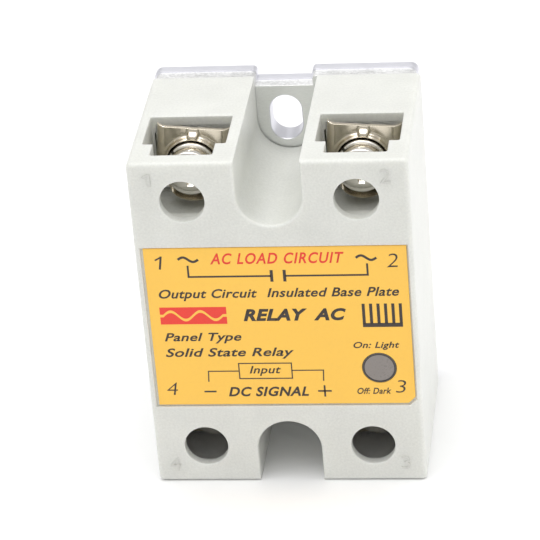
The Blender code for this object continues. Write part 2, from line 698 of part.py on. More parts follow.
def status_led():
    """A 5 mm LED behind the lens, on two legs that reach the board."""
    start = FRONT_WALL + 2 * GAP + 1.0 * mm
    r = 2.5 * mm
    base = start + 5.4 * mm
    dome = [(r * sin(radians(a)), start + r * (1 - cos(radians(a)))) for a in (0, 30, 60, 90)]
    depths = [*dome, (r, base - 1 * mm), (r + 0.4 * mm, base - 1 * mm), (r + 0.4 * mm, base), (0.0, base)]
    led = turned("status_led", [(radius, -depth) for radius, depth in depths], LED_GLASS, sides=20)
    led.location = (STATUS_X, FRONT_Y, STATUS_Z)
    half = 0.25 * mm
    for leg, offset in enumerate((-1.27 * mm, 1.27 * mm)):
        tool = box(f"led_leg_{leg}", (STATUS_X + offset - half, depth_y(base - 0.6 * mm), STATUS_Z - half),
                   (STATUS_X + offset + half, depth_y(on_board(GAP)), STATUS_Z + half))
        join(led, tool)
    return led


def optocoupler():
    """A six-pin optocoupler: a moulded body with three legs on each side."""
    low_x, high_x, low_z, high_z = -5.5, 1.0, 20.0, 29.0
    body = block_part("optocoupler", low_x, high_x, low_z, high_z, 4.2 * mm, BLACK_EPOXY, 0.3 * mm)
    pitch = 2.54
    reach = 0.6 * mm
    half = 0.3 * mm
    leg_top = 3.0 * mm
    for row, x in enumerate((low_x, high_x)):
        outward = -1 if row == 0 else 1
        near, far = sorted((x * mm + outward * reach, x * mm - outward * half))
        for n in range(3):
            z = ((low_z + high_z) / 2 + (n - 1) * pitch) * mm
            leg = box(f"opto_leg_{row}_{n}", (near, depth_y(on_board(leg_top)), z - half),
                      (far, depth_y(on_board(GAP)), z + half))
            join(body, leg)
    return body


def input_transistor():
    """A small transistor in a half-round package, lying with its flat to the board."""
    flat = -0.9 * mm
    r = 2.3 * mm
    edge = asin(-flat / r)
    outline = arc(0.0, 0.0, r, -180.0 * edge / pi, 180.0 + 180.0 * edge / pi, 12)
    obj = flat_curve([outline], 4.5 * mm)
    middle_y = depth_y(on_board(GAP)) + flat
    obj.matrix_world = Matrix.Translation((-10.0 * mm, middle_y, 22.5 * mm)) @ Matrix.Rotation(pi, 4, "X")
    return baked(obj, "input_transistor", BLACK_EPOXY)


def board_parts():
    """Everything soldered to the front of the circuit board."""
    circuit_board()
    status_led()
    optocoupler()
    input_transistor()
    block_part("snubber_capacitor", -18.5, -5.5, 35.0, 42.0, 8.0 * mm, FILM_CASE, 0.6 * mm)
    varistor = cylinder("varistor", (12.0 * mm, depth_y(on_board(GAP + 4.2 * mm)), 38.5 * mm),
                        4.2 * mm, 4.0 * mm, VARISTOR_COAT, axis="Z", sides=24)
    chamfer(varistor, 0.8 * mm, segments=2)
    axial_part("snubber_resistor", -1.0 * mm, 32.3 * mm, "X", 9.0 * mm, 1.9 * mm, RESISTOR_COAT)
    axial_part("input_resistor_1", -17.6 * mm, 25.5 * mm, "Z", 6.3 * mm, 1.2 * mm, RESISTOR_COAT)
    axial_part("input_resistor_2", -14.3 * mm, 25.5 * mm, "Z", 6.3 * mm, 1.2 * mm, RESISTOR_COAT)
    axial_part("protection_diode", -9.3 * mm, 28.2 * mm, "X", 4.2 * mm, 1.3 * mm, BLACK_EPOXY, 1.0 * mm)
    axial_part("gate_resistor", 7.0 * mm, 24.0 * mm, "Z", 6.3 * mm, 1.2 * mm, RESISTOR_COAT)


# ---------------------------------------------------------------- assembly
housing()
base_plate()
seal_bead()
front_label()
status_lens()
for terminal in TERMINALS:
    terminal_screw(terminal)
    lock_washer(terminal)
    wire_clamp(terminal)
    terminal_nut(terminal)
load_busbar(1)
load_busbar(2)
input_strip(3)
input_strip(4)
power_stage()
board_parts()
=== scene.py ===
"""The looks of the solid state relay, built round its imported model.

Metres, +Z up; the label faces -Y and the base plate +Y. Depths are measured from the front face of
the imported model, and at_depth turns them into Y. Pieces are lofts, turnings and pressed sheets that
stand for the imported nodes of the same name, and keep to their places and sizes.
"""

import json
from math import cos, exp, hypot, pi, radians, sin

import bmesh
import bpy
from mathutils import Matrix, Vector


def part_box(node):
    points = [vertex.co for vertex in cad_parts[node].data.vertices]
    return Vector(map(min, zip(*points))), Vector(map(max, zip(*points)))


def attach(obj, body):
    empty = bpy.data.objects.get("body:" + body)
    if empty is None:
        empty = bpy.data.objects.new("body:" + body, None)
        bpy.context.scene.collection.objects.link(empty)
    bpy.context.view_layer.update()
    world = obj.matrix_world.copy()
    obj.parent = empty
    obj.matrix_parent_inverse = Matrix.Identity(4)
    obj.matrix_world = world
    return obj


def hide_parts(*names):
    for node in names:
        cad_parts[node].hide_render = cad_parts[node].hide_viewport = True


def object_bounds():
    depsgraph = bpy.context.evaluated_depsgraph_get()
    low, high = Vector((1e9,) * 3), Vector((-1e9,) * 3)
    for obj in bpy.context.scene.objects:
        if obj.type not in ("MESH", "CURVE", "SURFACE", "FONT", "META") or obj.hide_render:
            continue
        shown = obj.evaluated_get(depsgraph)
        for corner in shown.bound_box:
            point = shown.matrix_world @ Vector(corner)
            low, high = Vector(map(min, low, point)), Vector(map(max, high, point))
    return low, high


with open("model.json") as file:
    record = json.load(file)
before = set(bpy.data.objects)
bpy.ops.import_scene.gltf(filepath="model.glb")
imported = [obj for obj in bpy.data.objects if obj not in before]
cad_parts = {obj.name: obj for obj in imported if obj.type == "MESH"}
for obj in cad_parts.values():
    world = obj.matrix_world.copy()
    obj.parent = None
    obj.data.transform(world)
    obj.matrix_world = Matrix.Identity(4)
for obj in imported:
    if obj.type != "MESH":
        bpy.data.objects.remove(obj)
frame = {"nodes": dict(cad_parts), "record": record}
CAD_LOW, CAD_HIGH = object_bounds()

mm = 0.001

# ---------------------------------------------------------------- places, from the frame
WIDTH = CAD_HIGH.x - CAD_LOW.x
HEIGHT = CAD_HIGH.z - CAD_LOW.z
HOUSING_LOW, HOUSING_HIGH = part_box("housing")
PLATE_LOW, PLATE_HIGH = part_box("base_plate")
LABEL_LOW, LABEL_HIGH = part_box("front_label")
LENS_LOW, LENS_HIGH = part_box("status_lens")
FRONT_Y = HOUSING_LOW.y


def at_depth(depth):
    """World Y of a depth behind the front face."""
    return FRONT_Y + depth


def depth_of(y):
    """Depth behind the front face of a world Y."""
    return y - FRONT_Y


HOUSING_DEPTH = depth_of(HOUSING_HIGH.y)
PLATE_DEPTH = depth_of(PLATE_LOW.y)
BACK_DEPTH = depth_of(PLATE_HIGH.y)

# ---------------------------------------------------------------- sizes of the fine shapes
FACE_DEPTH = 0.12 * mm               # the front face, which the raised numerals stand on
CORNER_R = 0.8 * mm
FRONT_WALL = 2.2 * mm
SIDE_WALL = 1.8 * mm
END_WALL = 2.0 * mm
RIM_R = 0.22 * mm                    # rounding of the moulding's edges at holes and recesses
BEVEL_SHARE = 2.6                    # how much wider the round is on the rear edge of a wire entry

CHANNEL_HALF = 5.3 * mm
CHANNEL_END = 11.5 * mm
CHANNEL_SLOPE = 1.9 * mm
CHANNEL_WALL_HALF = 7.0 * mm
CHANNEL_RIM_R = 0.5 * mm

TERMINAL_X = 13.95 * mm
TERMINAL_END = 6.95 * mm
DRIVER_HOLE_R = 3.62 * mm
POCKET_HALF = 6.75 * mm
POCKET_NECK_HALF = 5.05 * mm
POCKET_NECK_DEPTH = 3.2 * mm
POCKET_STEP_DEPTH = 7.1 * mm
POCKET_BACK_DEPTH = 16.9 * mm
POCKET_LENGTH = 14.0 * mm
NECK_LENGTH = 11.0 * mm
DRIVER_WALL = 1.7 * mm
LIP_LENGTH = 2.5 * mm
WAIST_END = 15.4 * mm
STRIP_ROOM_HALF = 6.4 * mm
STRIP_ROOM_ENDS = (2.9 * mm, 13.4 * mm)   # short of the strip's outer end, to keep it out of sight
OVERLAP = 1 * mm                     # how far a cutting tool goes past what it opens

HEAD_R = 3.9 * mm
HEAD_FRONT_DEPTH = 9.1 * mm
HEAD_THICKNESS = 3.1 * mm
SHANK_R = 2.0 * mm
SHANK_LENGTH = 12.0 * mm
SCREW_PITCH = 0.7 * mm
WASHER_R = 4.0 * mm
WASHER_THICKNESS = 1.2 * mm
WASHER_SOFT = 0.38 * mm              # rounding of its wire
WASHER_START = 140.0                 # degrees round the axis to its split
WASHER_SPLIT = 4.0                   # half the split, in degrees
CLAMP_HALF = 6.05 * mm
CLAMP_SHEET = 0.8 * mm
CLAMP_DEPTH = 14.0 * mm
CLAMP_LEAN = {1: 5.0, 2: 4.0, 3: 2.0, 4: -3.0}     # degrees that each loose clamp has turned
CLAMP_HOLE_R = 2.4 * mm
CLAMP_GRID = 88                      # squares across the pressed sheet
COLLAR_R = 4.42 * mm
COLLAR_WIDTH = 0.3 * mm
COLLAR_RISE = 1.0 * mm
TAB_START = 4.25 * mm                # the tab over the washer, out from the screw's axis
TAB_END = 5.35 * mm
TAB_HALF = 0.82 * mm
TAB_RISE = 1.15 * mm
LOBE_LENGTH = 2.3 * mm               # the lip below the screw head
LOBE_HALF = 3.6 * mm
LOBE_RISE = 2.1 * mm
WING_WIDTH = 1.5 * mm                # the bent edges at both sides
WING_RISE = 1.25 * mm

PLATE_NOTCH_HALF = 5.2 * mm
PLATE_NOTCH_DEPTH = 1.7 * mm
SLOT_WIDTH = 5.4 * mm
SLOT_INNER = 11.85 * mm
SLOT_OUTER = 3.75 * mm
SHEAR_DEPTH = 33.5 * mm              # where the plate's sheared zone ends
PLATE_SHIFT = -0.3 * mm              # how far the plate sits off the housing's middle
NOTCH_TRIM = 0.4 * mm                # off the right side of its end notches
SLOT_SHIFT = -0.15 * mm              # how far its slots sit off its own middle

LABEL_DEPTH = 0.32 * mm
LABEL_CORNER = 1.15 * mm
LABEL_POCKET_DEPTH = 0.6 * mm
STATUS = Vector(((LENS_LOW.x + LENS_HIGH.x) / 2, 0.0, (LENS_LOW.z + LENS_HIGH.z) / 2))
STATUS_HOLE_R = 2.9 * mm

TERMINALS = {1: (-1, True), 2: (1, True), 3: (1, False), 4: (-1, False)}


def terminal_centre(number):
    """(x, z) of a terminal's screw axis."""
    side, upper = TERMINALS[number]
    return side * TERMINAL_X, (HEIGHT - TERMINAL_END if upper else TERMINAL_END)


# ---------------------------------------------------------------- materials
def add(nodes, kind, **inputs):
    """A node, with some of its inputs or settings set."""
    node = nodes.new(kind)
    for key, value in inputs.items():
        if key in node.inputs:
            node.inputs[key].default_value = value
        else:
            setattr(node, key, value)
    return node


def surface(name, colour, roughness, metallic=0.0, shade=0.04, mottle=2600.0, grain=0.0, grain_scale=9000.0,
            stretch=(1.0, 1.0, 1.0), rough_spread=0.08, coat=0.0, tint=None, patch_scale=160.0,
            subsurface=0.0):
    """A procedural finish: mottled colour, uneven roughness and a fine surface grain."""
    made = bpy.data.materials.new(name)
    made.use_nodes = True
    nodes, links = made.node_tree.nodes, made.node_tree.links
    shader = nodes["Principled BSDF"]
    shader.inputs["Metallic"].default_value = metallic
    shader.inputs["Coat Weight"].default_value = coat
    shader.inputs["Coat Roughness"].default_value = 0.08
    shader.inputs["Subsurface Weight"].default_value = subsurface
    if subsurface:
        shader.inputs["Subsurface Radius"].default_value = (2.2 * mm, 2.2 * mm, 2.0 * mm)
        shader.inputs["Subsurface Scale"].default_value = 1.0
    place = add(nodes, "ShaderNodeTexCoord")
    scaled = add(nodes, "ShaderNodeMapping", Scale=stretch)
    links.new(place.outputs["Object"], scaled.inputs["Vector"])

    fine = add(nodes, "ShaderNodeTexNoise", Scale=mottle, Detail=3.0, Roughness=0.6)
    broad = add(nodes, "ShaderNodeTexNoise", Scale=patch_scale, Detail=2.0)
    links.new(scaled.outputs["Vector"], fine.inputs["Vector"])
    links.new(place.outputs["Object"], broad.inputs["Vector"])

    both = add(nodes, "ShaderNodeMix", data_type="FLOAT", Factor=0.35)
    links.new(fine.outputs["Fac"], both.inputs["A"])
    links.new(broad.outputs["Fac"], both.inputs["B"])
    dark = [c * (1.0 - shade) for c in colour]
    light = [min(1.0, c * (1.0 + shade)) for c in (tint or colour)]
    ramp = add(nodes, "ShaderNodeValToRGB")
    ramp.color_ramp.elements[0].position = 0.3
    ramp.color_ramp.elements[0].color = (*dark, 1.0)
    ramp.color_ramp.elements[1].position = 0.7
    ramp.color_ramp.elements[1].color = (*light, 1.0)
    links.new(both.outputs["Result"], ramp.inputs["Fac"])
    links.new(ramp.outputs["Color"], shader.inputs["Base Color"])

    gloss = add(nodes, "ShaderNodeMapRange")
    gloss.inputs["From Min"].default_value = 0.3
    gloss.inputs["From Max"].default_value = 0.7
    gloss.inputs["To Min"].default_value = max(0.02, roughness - rough_spread)
    gloss.inputs["To Max"].default_value = min(1.0, roughness + rough_spread)
    links.new(both.outputs["Result"], gloss.inputs["Value"])
    links.new(gloss.outputs["Result"], shader.inputs["Roughness"])

    if grain:
        texture = add(nodes, "ShaderNodeTexNoise", Scale=grain_scale, Detail=4.0, Roughness=0.65)
        bump = add(nodes, "ShaderNodeBump", Strength=1.0, Distance=grain)
        links.new(scaled.outputs["Vector"], texture.inputs["Vector"])
        links.new(texture.outputs["Fac"], bump.inputs["Height"])
        links.new(bump.outputs["Normal"], shader.inputs["Normal"])
    return made


HOUSING_PLASTIC = surface("housing_plastic", (0.70, 0.705, 0.665), 0.4, shade=0.085, mottle=2600.0,
                          grain=0.012 * mm, grain_scale=5000.0, rough_spread=0.05, coat=0.2,
                          subsurface=0.35)
# The raised numerals are moulded in the housing's own plastic; their darker colour here is painted shade
# round the raised figures.
NUMERAL_PAINTED_SHADE = surface("numeral_plastic_painted_shade", (0.62, 0.62, 0.585), 0.4, shade=0.1, mottle=2600.0,
                          grain=0.012 * mm, grain_scale=5000.0, rough_spread=0.05)
PLATE_FACE = surface("plate_brushed_face", (0.84, 0.85, 0.84), 0.4, 1.0, shade=0.1, mottle=1500.0,
                     grain=0.006 * mm, grain_scale=2500.0, stretch=(1.0, 1.0, 14.0))
PLATE_SHEAR = surface("plate_sheared_edge", (0.84, 0.84, 0.82), 0.55, 1.0, shade=0.28, mottle=2300.0,
                      grain=0.09 * mm, grain_scale=2600.0, rough_spread=0.15)
PLATE_EDGE = surface("plate_smooth_edge", (0.82, 0.82, 0.87), 0.42, 1.0, shade=0.05, mottle=900.0,
                     grain=0.004 * mm, grain_scale=5000.0, stretch=(1.0, 6.0, 1.0))
LABEL_FILM = surface("label_film", (0.98, 0.575, 0.083), 0.45, shade=0.025, mottle=2600.0,
                     grain=0.003 * mm, grain_scale=6000.0, coat=0.1)
INK_BLACK = surface("ink_black", (0.045, 0.035, 0.03), 0.5, shade=0.15, mottle=5000.0,
                    grain=0.002 * mm, grain_scale=9000.0)
INK_RED = surface("ink_red", (0.83, 0.05, 0.03), 0.5, shade=0.06, mottle=5000.0,
                  grain=0.002 * mm, grain_scale=9000.0)
SMOKED_LENS = surface("smoked_lens", (0.235, 0.21, 0.195), 0.32, shade=0.06, mottle=3000.0,
                      grain=0.004 * mm, grain_scale=5000.0, coat=0.3)
LENS_RING = surface("lens_ring", (0.09, 0.085, 0.08), 0.4, shade=0.1, mottle=3000.0,
                    grain=0.004 * mm)
NICKEL = surface("nickel_plate", (0.68, 0.615, 0.50), 0.17, 1.0, shade=0.08, mottle=1500.0,
                 grain=0.006 * mm, grain_scale=1800.0, rough_spread=0.06)
SCREW_STEEL = surface("screw_steel", (0.78, 0.75, 0.69), 0.15, 1.0, shade=0.05, mottle=1800.0,
                      grain=0.004 * mm, grain_scale=2200.0, rough_spread=0.06)
TINNED = surface("tinned_copper", (0.90, 0.90, 0.88), 0.3, 1.0, shade=0.06, mottle=1500.0,
                 grain=0.006 * mm, grain_scale=2000.0, stretch=(1.0, 1.0, 5.0))
WASHER_STEEL = surface("washer_steel", (0.90, 0.87, 0.81), 0.3, 1.0, shade=0.05, mottle=1800.0,
                       grain=0.004 * mm, grain_scale=2200.0, rough_spread=0.06)
SEALANT = surface("sealant", (0.78, 0.78, 0.76), 0.6, shade=0.05, mottle=1200.0, grain=0.03 * mm,
                  grain_scale=1500.0)

CARRIED = {                          # finishes of the nodes that are carried over as they are
    "copper": surface("copper_metal", (0.80, 0.42, 0.27), 0.3, 1.0, shade=0.12, mottle=900.0,
                      grain=0.008 * mm, grain_scale=2500.0, stretch=(1.0, 1.0, 8.0)),
    "ceramic": surface("alumina_white", (0.88, 0.87, 0.84), 0.55, shade=0.03, mottle=5000.0,
                       grain=0.006 * mm),
    "silicon": surface("silicon_grey", (0.16, 0.17, 0.20), 0.2, 0.5, shade=0.08, mottle=2500.0,
                       grain=0.003 * mm),
    "board": surface("board_laminate", (0.045, 0.25, 0.11), 0.42, shade=0.18, mottle=1800.0,
                     grain=0.02 * mm, grain_scale=1600.0, stretch=(3.0, 1.0, 1.0), coat=0.3),
    "black_epoxy": surface("black_epoxy", (0.03, 0.03, 0.032), 0.5, shade=0.25, mottle=4500.0,
                           grain=0.02 * mm, grain_scale=6000.0),
    "film_case": surface("film_case_red", (0.50, 0.085, 0.06), 0.35, shade=0.08, mottle=900.0,
                         grain=0.02 * mm, grain_scale=1400.0, coat=0.3),
    "varistor_coat": surface("varistor_blue", (0.05, 0.18, 0.46), 0.4, shade=0.1, mottle=1100.0,
                             grain=0.03 * mm, grain_scale=1300.0),
    "resistor_coat": surface("resistor_tan", (0.50, 0.41, 0.27), 0.45, shade=0.1, mottle=1500.0,
                             grain=0.02 * mm, grain_scale=2200.0),
    "led_epoxy": surface("led_red", (0.66, 0.10, 0.07), 0.15, shade=0.05, mottle=800.0,
                         grain=0.003 * mm, coat=0.5),
    "sealant": SEALANT,
    "nickel": NICKEL,
    "screw_steel": SCREW_STEEL,
    "housing": HOUSING_PLASTIC,
    "plate": PLATE_FACE,
    "label": LABEL_FILM,
    "lens": SMOKED_LENS,
}


# ---------------------------------------------------------------- mesh helpers
def mesh_object(name, edit, *finishes):
    """An object from a bmesh, in the scene, with its finishes."""
    mesh = bpy.data.meshes.new(name)
    bmesh.ops.recalc_face_normals(edit, faces=edit.faces)
    edit.to_mesh(mesh)
    edit.free()
    made = bpy.data.objects.new(name, mesh)
    bpy.context.scene.collection.objects.link(made)
    for finish in finishes:
        mesh.materials.append(finish)
    return made


def loft(name, rings, *finishes, material_of=None):
    """A closed skin over rings of equal length, capped at both ends."""
    edit = bmesh.new()
    rows = [[edit.verts.new(point) for point in ring] for ring in rings]
    for level, (near, far) in enumerate(zip(rows, rows[1:])):
        for n in range(len(near)):
            m = (n + 1) % len(near)
            face = edit.faces.new((near[n], near[m], far[m], far[n]))
            face.material_index = material_of(level) if material_of else 0
    edit.faces.new(rows[0])
    edit.faces.new(list(reversed(rows[-1])))
    return mesh_object(name, edit, *finishes)


def arc(centre_u, centre_v, radius, start, end, count):
    """Points along an arc, by angle in degrees."""
    steps = [radians(start + (end - start) * n / count) for n in range(count + 1)]
    return [(centre_u + radius * cos(a), centre_v + radius * sin(a)) for a in steps]


def circle(centre_u, centre_v, radius, count=64):
    """Points round a whole circle."""
    return arc(centre_u, centre_v, radius, 0.0, 360.0 - 360.0 / count, count - 1)


def rounded_rectangle(low_u, low_v, high_u, high_v, radius, count=6):
    """Outline of a rectangle with round corners."""
    corners = ((high_u - radius, high_v - radius, 0.0), (low_u + radius, high_v - radius, 90.0),
               (low_u + radius, low_v + radius, 180.0), (high_u - radius, low_v + radius, 270.0))
    return [p for u, v, turn in corners for p in arc(u, v, radius, turn, turn + 90.0, count)]


def front_ring(outline, depth):
    """An (x, z) outline as a ring at a depth."""
    return [(x, at_depth(depth), z) for x, z in outline]


def end_ring(outline, height):
    """An (x, depth) outline as a ring at a height."""
    return [(x, at_depth(depth), height) for x, depth in outline]


def rim_levels(surface_at, radius, far_end, steps=5):
    """(place, growth) along a cut that goes in from a surface, with a rounded rim there."""
    outside = -1.0 if far_end > surface_at else 1.0
    levels = [(surface_at + outside * 1.5 * mm, radius)]
    for n in range(steps + 1):
        angle = 0.5 * pi * n / steps
        inward = radius * (1.0 - cos(angle))
        levels.append((surface_at - outside * inward, radius * (1.0 - sin(angle))))
    levels.append((far_end, 0.0))
    return levels


def cut(target, tool, operation="DIFFERENCE"):
    """A Boolean modifier with the exact solver."""
    made = target.modifiers.new(tool.name, "BOOLEAN")
    made.object = tool
    made.operation = operation
    made.solver = "EXACT"
    return made


def settle(target):
    """Applies the modifiers of an object, and removes the tools that they used."""
    bpy.context.view_layer.update()
    seen = target.evaluated_get(bpy.context.evaluated_depsgraph_get())
    mesh = bpy.data.meshes.new_from_object(seen, preserve_all_data_layers=True,
                                           depsgraph=bpy.context.evaluated_depsgraph_get())
    tools = [m.object for m in target.modifiers if m.type == "BOOLEAN"]
    target.modifiers.clear()
    target.data = mesh
    for tool in tools:
        bpy.data.objects.remove(tool, do_unlink=True)
    return target


def smooth_shade(target, angle=32.0, weighted=True):
    """Smooth shading that stops at sharp edges, with flat faces kept flat."""
    target.data.shade_smooth()
    target.data.set_sharp_from_angle(angle=radians(angle))
    if weighted:
        made = target.modifiers.new("flat_faces", "WEIGHTED_NORMAL")
        made.keep_sharp = True
        made.weight = 100
        settle(target)
    return target


def place_piece(piece, body, slot, *nodes):
    """Puts a finished piece on its body, in the place of the nodes that it stands for."""
    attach(piece, body)
    if nodes:
        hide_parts(*nodes)
    return piece


def flipped(outline):
    """The same outline at the other end of the relay."""
    return [(u, HEIGHT - v) for u, v in outline]


# ---------------------------------------------------------------- housing
def channel_outline(growth, upper, lift=0.0):
    """The U of a mounting recess; growth widens it, and lift moves its round bottom up."""
    half = CHANNEL_HALF + growth
    centre = HEIGHT - CHANNEL_END + CHANNEL_HALF - lift
    outline = [(half, HEIGHT + 5 * mm), *arc(0.0, centre, half, 0.0, -180.0, 40), (-half, HEIGHT + 5 * mm)]
    return outline if upper else flipped(outline)


def channel_tool(name, upper):
    """The mounting recess, running deeper towards the base plate, with a rounded front rim."""
    levels = rim_levels(FACE_DEPTH, CHANNEL_RIM_R, BACK_DEPTH + 3 * mm)
    rings = [front_ring(channel_outline(growth, upper, CHANNEL_SLOPE * depth / HOUSING_DEPTH), depth)
             for depth, growth in levels]
    return loft(name, rings)


def entry_outline(x, growth, half, near, far, radius=0.35 * mm):
    """(x, depth) outline of one part of a wire entry."""
    reach = half + growth
    return rounded_rectangle(x - reach, near - growth, x + reach, far + growth, radius + growth)


def entry_tool(name, number, half, near, far, length):
    """One part of a wire entry, cut in from the end of the housing, with a wide round on its rear edge."""
    x, _ = terminal_centre(number)
    upper = TERMINALS[number][1]
    end = HEIGHT if upper else 0.0
    floor = HEIGHT - length if upper else length
    rings = [end_ring(entry_outline(x, growth, half, near, far + BEVEL_SHARE * growth), height)
             for height, growth in rim_levels(end, RIM_R, floor)]
    return loft(name, rings)


def cavity_outline():
    """(x, z) outline of the open back of the housing: an H, round the two mounting recesses."""
    out_x = WIDTH / 2 - SIDE_WALL
    low = [(-out_x, END_WALL), (-CHANNEL_WALL_HALF, END_WALL), (-CHANNEL_WALL_HALF, WAIST_END),
           (CHANNEL_WALL_HALF, WAIST_END), (CHANNEL_WALL_HALF, END_WALL), (out_x, END_WALL)]
    return low + list(reversed(flipped(low)))


def label_pocket_outline(growth):
    """(x, z) outline of the label's pocket."""
    left, right = LABEL_LOW.x - 0.45 * mm - growth, LABEL_HIGH.x + 0.25 * mm + growth
    low, high = LABEL_LOW.z - 0.35 * mm - growth, LABEL_HIGH.z + 0.15 * mm + growth
    corner = LABEL_CORNER + 0.4 * growth
    return [(left, low), (right - corner, low), (right, low + corner), (right, high), (left, high)]


def rounded_block(name, low, high, radius, *finishes):
    """A block whose edges are rounded, all but those of its rear face."""
    edit = bmesh.new()
    bmesh.ops.create_cube(edit, size=1.0)
    size = Vector(high) - Vector(low)
    middle = (Vector(high) + Vector(low)) / 2
    edit.transform(Matrix.Translation(middle) @ Matrix.Diagonal((*size, 1.0)))
    edges = [e for e in edit.edges if not all(v.co.y > middle.y for v in e.verts)]
    bmesh.ops.bevel(edit, geom=edges, offset=radius, segments=6, profile=0.5, affect="EDGES")
    return mesh_object(name, edit, *finishes)


def text_mesh(body, bold=0.0, slant=0.0, spacing=1.0):
    """A flat text as a mesh in its own XY plane."""
    data = bpy.data.curves.new("text", "FONT")
    data.body = body
    data.size = 1.0
    data.shear = slant
    data.offset = bold
    data.space_character = spacing
    data.resolution_u = 4
    source = bpy.data.objects.new("text", data)
    bpy.context.scene.collection.objects.link(source)
    bpy.context.view_layer.update()
    seen = source.evaluated_get(bpy.context.evaluated_depsgraph_get())
    mesh = bpy.data.meshes.new_from_object(seen)
    bpy.data.objects.remove(source, do_unlink=True)
    return mesh


def printed(edit, mesh, low_x, high_x, low_z, high_z, depth, rise):
    """Adds a flat mesh, stretched to a rectangle of the front face, as a layer rise thick."""
    points = [v.co for v in mesh.vertices]
    low_u, high_u = min(p.x for p in points), max(p.x for p in points)
    low_v, high_v = min(p.y for p in points), max(p.y for p in points)
    wide = (high_x - low_x) / (high_u - low_u)
    tall = (high_z - low_z) / (high_v - low_v)
    part = bmesh.new()
    part.from_mesh(mesh)
    bmesh.ops.remove_doubles(part, verts=part.verts, dist=0.0005)
    for v in part.verts:
        v.co = Vector((low_x + (v.co.x - low_u) * wide, at_depth(depth), low_z + (v.co.y - low_v) * tall))
    bmesh.ops.recalc_face_normals(part, faces=part.faces)
    front = list(part.faces)
    if sum(f.normal.y * f.calc_area() for f in front) > 0:
        bmesh.ops.reverse_faces(part, faces=front)
    raised = bmesh.ops.extrude_face_region(part, geom=front)
    for v in (v for v in raised["geom"] if isinstance(v, bmesh.types.BMVert)):
        v.co.y -= rise
    bmesh.ops.recalc_face_normals(part, faces=part.faces)
    joined = bpy.data.meshes.new("layer")
    part.to_mesh(joined)
    part.free()
    edit.from_mesh(joined)
    bpy.data.meshes.remove(joined)
    bpy.data.meshes.remove(mesh)


PRINT_RISE = 0.012 * mm
PRINT_SPAN = (LABEL_DEPTH + 0.002 * mm, LABEL_DEPTH - PRINT_RISE)
RAISED_SPAN = (FACE_DEPTH + 0.05 * mm, 0.0)


def stroke(edit, points, width, span=PRINT_SPAN):
    """Adds a flat line of even width through (x, z) points in millimetres, with mitred corners."""
    half = width / 2
    path = [Vector((x, z)) for x, z in points]
    left, right = [], []
    for n, point in enumerate(path):
        before = (point - path[n - 1]).normalized() if n else None
        after = (path[n + 1] - point).normalized() if n + 1 < len(path) else None
        along = ((before or after) + (after or before)).normalized()
        across = Vector((-along.y, along.x))
        side = Vector((-(after or before).y, (after or before).x))
        reach = half / max(0.3, across.dot(side))
        left.append(point + across * reach)
        right.append(point - across * reach)
    outline = [(p.x * mm, p.y * mm) for p in left + list(reversed(right))]
    solid_print(edit, outline, len(left), span)


def solid_print(edit, outline, half_count=None, span=PRINT_SPAN):
    """Adds a flat patch: an outline as a thin layer between two depths, as quads if it is a strip."""
    rows = []
    for depth in span:
        rows.append([edit.verts.new(p) for p in front_ring(outline, depth)])
    count = len(outline)
    for n in range(count):
        m = (n + 1) % count
        edit.faces.new((rows[0][n], rows[0][m], rows[1][m], rows[1][n]))
    for row in rows:
        if half_count:
            for n in range(half_count - 1):
                edit.faces.new((row[n], row[n + 1], row[count - 2 - n], row[count - 1 - n]))
        else:
            edit.faces.new(row)


def digit_one(edit, low_x, high_x, low_z, high_z, width, lean=0.0, span=PRINT_SPAN):
    """Adds a figure one: a stem and a flag, in a rectangle given in millimetres."""
    stem_x = high_x - width / 2
    top = high_z - 0.04
    stroke(edit, [(stem_x - lean, low_z), (stem_x, high_z)], width, span)
    under = (span[0], span[1] + 0.1 * (span[0] - span[1]))
    stroke(edit, [(low_x, high_z - 0.3 * (high_z - low_z)), (stem_x, top - width * 0.3)], width * 0.8, under)


RAISED_FIGURES = (("2", 17.9, 19.6, 55.9), ("3", 18.4, 19.9, 2.3), ("4", -20.3, -18.6, 2.2))


def numerals():
    """The raised terminal numbers moulded on the corners of the front face, in a darker colour that is
    painted shade.
    """
    edit = bmesh.new()
    digit_one(edit, -20.0, -18.7, 55.95, 58.2, 0.5, 0.0, RAISED_SPAN)
    for body, low_x, high_x, low_z in RAISED_FIGURES:
        printed(edit, text_mesh(body), low_x * mm, high_x * mm, low_z * mm, (low_z + 2.5) * mm,
                RAISED_SPAN[0], RAISED_SPAN[0] - RAISED_SPAN[1])
    return mesh_object("housing_numerals", edit, NUMERAL_PAINTED_SHADE)


